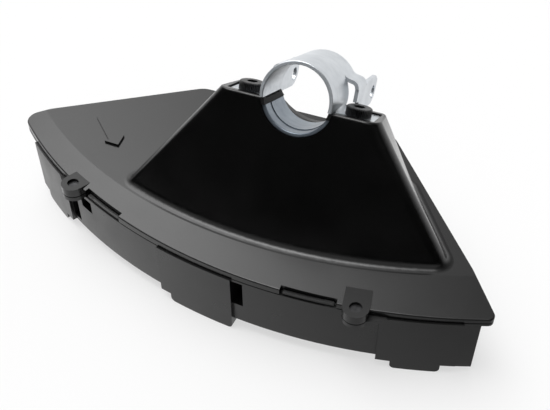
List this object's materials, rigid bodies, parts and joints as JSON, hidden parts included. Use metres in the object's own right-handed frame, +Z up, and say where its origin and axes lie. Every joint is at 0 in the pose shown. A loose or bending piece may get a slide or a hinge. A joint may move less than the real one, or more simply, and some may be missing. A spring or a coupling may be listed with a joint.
{
  "type": "trimmer guard",
  "caption": "Black moulded sector guard with a hollow tower, a steel tube clamp on top and a curved skirt screwed under its rim, for the shaft of a grass trimmer.",
  "frame": {"origin": "middle of the clamped length, on the axis of the tube", "axes": "+Z up from the deck, -Y toward the rim and skirt, +X to the right as the rim is faced; the tube falls to +Y"},
  "size_m": [0.2296, 0.1077, 0.1055],
  "materials": {
    "body_plastic": "semi-gloss black moulding",
    "skirt_plastic": "semi-gloss black moulding",
    "cap_steel": "bright zinc-plated pressing",
    "saddle_steel": "bright zinc-plated pressing",
    "black_steel": "black oxide",
    "nut_steel": "zinc-plated",
    "screw_steel": "zinc-plated",
    "blade_steel": "ground hardened sheet"
  },
  "bodies": {
    "root": {"guard_body": "body_plastic", "skirt": "skirt_plastic", "clamp_cap": "cap_steel", "clamp_saddle": "saddle_steel", "clamp_bolts": "black_steel", "clamp_nuts": "nut_steel", "skirt_screws": "screw_steel", "line_cutter": "blade_steel", "cutter_screws": "screw_steel"}
  },
  "joints": []
}
